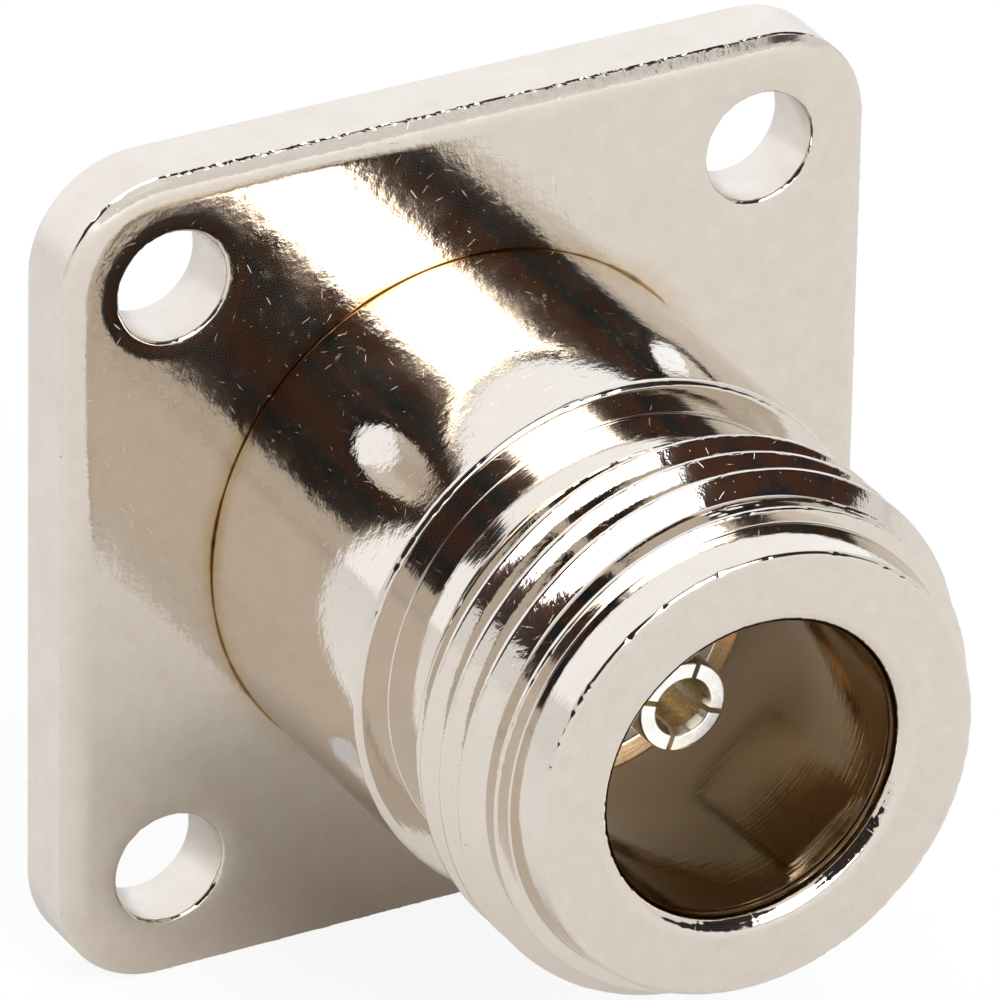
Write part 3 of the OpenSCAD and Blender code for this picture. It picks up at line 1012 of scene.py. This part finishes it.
def white_room():
    """World that the camera and the metal see as white, and that lights matt surfaces from above."""
    world = bpy.data.worlds.new("white_room")
    scene.world = world
    world.use_nodes = True
    tree = world.node_tree
    room = tree.nodes["Background"]
    room.inputs["Color"].default_value = ROOM_COLOUR
    path = add(tree, "LightPath").outputs
    up = add(tree, "SeparateXYZ", {0: add(tree, "TexCoord").outputs["Generated"]}).outputs["Z"]
    overhead = add(tree, "MapRange", {0: up, 3: HORIZON_LIGHT, 4: ZENITH_LIGHT}).outputs[0]
    strength = add(tree, "MapRange", {0: path["Is Diffuse Ray"], 3: 1.0, 4: overhead}).outputs[0]
    tree.links.new(strength, room.inputs["Strength"])


def paper_floor():
    """White paper under the jack, matt and plain, which keeps its shadow."""
    mesh = bmesh.new()
    bmesh.ops.create_circle(mesh, cap_ends=True, segments=96, radius=FLOOR_R)
    bmesh.ops.translate(mesh, vec=(0, 0, cad_low.z), verts=mesh.verts)
    paper, tree, shader = new_material("white_paper", Base_Color=linear(PAPER), Roughness=0.9)
    path = add(tree, "LightPath").outputs
    mirrored = {0: path["Is Glossy Ray"], 1: path["Is Transmission Ray"]}
    mirrored = add(tree, "Math", mirrored, operation="MAXIMUM").outputs[0]
    share = add(tree, "Math", {0: mirrored, 1: FLOOR_MIRRORED}, operation="MULTIPLY").outputs[0]
    seen = {0: path["Is Camera Ray"], 1: FLOOR_SEEN, 2: share}
    share = add(tree, "Math", seen, operation="MULTIPLY_ADD").outputs[0]
    glow = add(tree, "Emission", {"Color": (1, 1, 1, 1), "Strength": 1.0}).outputs[0]
    mix = add(tree, "MixShader", {0: share, 1: shader.outputs[0], 2: glow})
    tree.links.new(mix.outputs[0], tree.nodes["Material Output"].inputs["Surface"])
    finished_object("floor", mesh, [paper])


def dark_cards():
    """Velvet cards, brown and blue-black, which the metal mirrors as its dark bands."""
    velvet, tree, shader = new_material("black_velvet", Roughness=1.0, Specular_IOR_Level=0.0)
    place = add(tree, "TexCoord").outputs["Object"]
    nap = add(tree, "TexNoise", {"Vector": place, "Scale": 1 / VELVET_NAP, "Detail": 2.0}).outputs[0]
    nap = add(tree, "MapRange", {0: nap, 1: 0.4, 2: 0.6, 3: 0.0, 4: 1.0}).outputs[0]
    cloth = add(tree, "MixRGB", {0: nap, 1: linear(VELVET_BLUE), 2: linear(VELVET_BROWN)}).outputs[0]
    tree.links.new(cloth, shader.inputs["Base Color"])
    for name, (azimuth, elevation, distance, width, height) in DARK_CARDS.items():
        mesh = bmesh.new()
        bmesh.ops.create_grid(mesh, x_segments=1, y_segments=1, size=0.5)
        bmesh.ops.scale(mesh, vec=(width, height, 1), verts=mesh.verts)
        card = finished_object(name, mesh, [velvet])
        face_the_jack(card, azimuth, elevation, distance)


def softboxes():
    """Area lamps in front of and behind the jack."""
    for name, (azimuth, elevation, distance, width, height, brightness, colour) in SOFTBOXES.items():
        data = bpy.data.lights.new(name, "AREA")
        data.shape = "RECTANGLE"
        data.size, data.size_y = width, height
        data.energy = brightness * math.pi * width * height
        data.color = colour
        lamp = bpy.data.objects.new(name, data)
        scene.collection.objects.link(lamp)
        face_the_jack(lamp, azimuth, elevation, distance)


# Finishes

# Polished and plated: the clearest mirror on the jack, frayed by the grain under the plate
polished = plated("nickel_plate_on_polished_brass", NICKEL, 0.06, 5.0, 3.5, 1.8, turned_um=0.4)
# Turned and plated: a clear mirror, drawn out along the tool's fine rings
turned = plated("nickel_plate_on_turned_brass", NICKEL, 0.07, 2.0, 1.5, 1.0, turned_um=2.5)
# Faced and plated: a clouded satin that glows with what it faces and shows no picture of it. Its darker
# clouds are tarnish and painted shade of the grain
faced = plated("nickel_plate_on_faced_brass", NICKEL, 0.22, 5.0, 2.0, 1.5, turned_um=0.6, tarnish_and_shade_share=0.3)
# Reamed and thinly plated: brass shows through, so the bore is a brown mirror with close rings
reamed = plated("nickel_plate_on_reamed_brass", THIN_NICKEL, 0.08, 0.8, 1.0, 0.5, turned_um=5.0)
# Rolled sheet, plated: a clouded mirror, scratched in every direction. Its darker clouds are tarnish and
# painted shade of the grain
sheet_face = plated("nickel_plate_on_brass_sheet", NICKEL, 0.09, 5.0, 3.5, 2.2, axes=FACE_AXES, tarnish_and_shade_share=0.3)
# Sheared edge, plated: dull and even, with a blurred sheen
sheet_edge = plated("nickel_plate_on_sheared_edge", NICKEL, 0.3, 2.5, 2.0, 1.5, axes=SIDE_AXES)
# Worn bevel, plated: a bright line that breaks up at the dents
sheet_bevel = plated("nickel_plate_on_worn_bevel", NICKEL, 0.1, 3.0, 2.0, 2.0, axes=FACE_AXES)
silver = silver_plate("silver_plate_satin", SILVER, 0.2)
socket_silver = silver_plate("silver_plate_rubbed", RUBBED_SILVER, 0.3)
fluoropolymer = turned_fluoropolymer()

# Pieces, with the nodes they stand for and their slots

for piece, node, slot in (
    (turned_body(polished, faced, reamed, turned), "jack_body", "nickel_turned"),
    (stamped_flange(sheet_face, sheet_edge, sheet_bevel), "mounting_flange", "nickel_sheet"),
    (socket_contact(silver, socket_silver), "centre_contact", "silver_plate"),
    (front_disc(fluoropolymer), "front_insulator", "fluoropolymer"),
    (rear_disc(fluoropolymer), "rear_insulator", "fluoropolymer"),
):
    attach(piece, "root")
    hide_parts(node)

studio_camera()
white_room()
paper_floor()
dark_cards()
softboxes()
